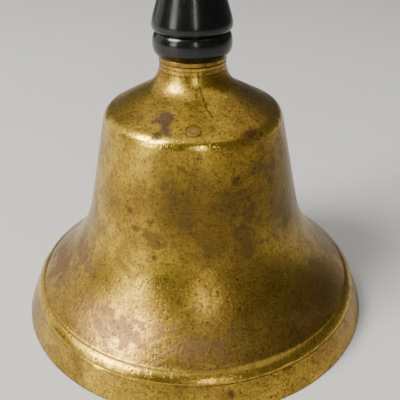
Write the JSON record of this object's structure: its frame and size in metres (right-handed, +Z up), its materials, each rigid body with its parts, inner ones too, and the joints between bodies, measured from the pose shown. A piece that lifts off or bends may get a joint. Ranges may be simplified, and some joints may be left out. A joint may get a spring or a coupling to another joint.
{
  "type": "handbell",
  "caption": "Cast brass altar handbell with a flared lip, turned black wooden grip bolted to its neck and an iron clapper hung inside.",
  "frame": {"origin": "centre of the mouth, on the plane the lip stands on", "axes": "+Z up the handle, -Y to the front, where the crown's plug is"},
  "size_m": [0.1512, 0.1512, 0.2527],
  "materials": {
    "bell_brass": "aged, fine turned lines, uneven brown tarnish",
    "plug_brass": "dull, dark round the edge",
    "fitting_brass": "satin, turned",
    "ebonised_wood": "black, polished",
    "washer_leather": "matt",
    "steel": "dull, oxidised",
    "clapper_iron": "dark, worn bright where it strikes"
  },
  "bodies": {
    "bell": {"bell_casting": "bell_brass", "crown_plug": "plug_brass", "seat_ring": "fitting_brass", "handle_grip": "ebonised_wood", "cap_washer": "fitting_brass", "cap_nut": "fitting_brass", "crown_leather": "washer_leather", "crown_washer": "steel", "crown_nut": "steel", "handle_rod": "steel"},
    "link": {"clapper_link": "steel"},
    "clapper": {"clapper_shank": "clapper_iron", "clapper_ball": "clapper_iron"}
  },
  "joints": [
    {"name": "link_turn", "type": "hinge", "parent": "bell", "child": "link", "pos_m": [0, 0, 0.06737], "axis": [0, 0, 1], "range_deg": [-25, 25]},
    {"name": "clapper_swing", "type": "hinge", "parent": "link", "child": "clapper", "pos_m": [0, 0, 0.06097], "axis": [0, 1, 0], "range_deg": [-47.3, 47.3]}
  ]
}
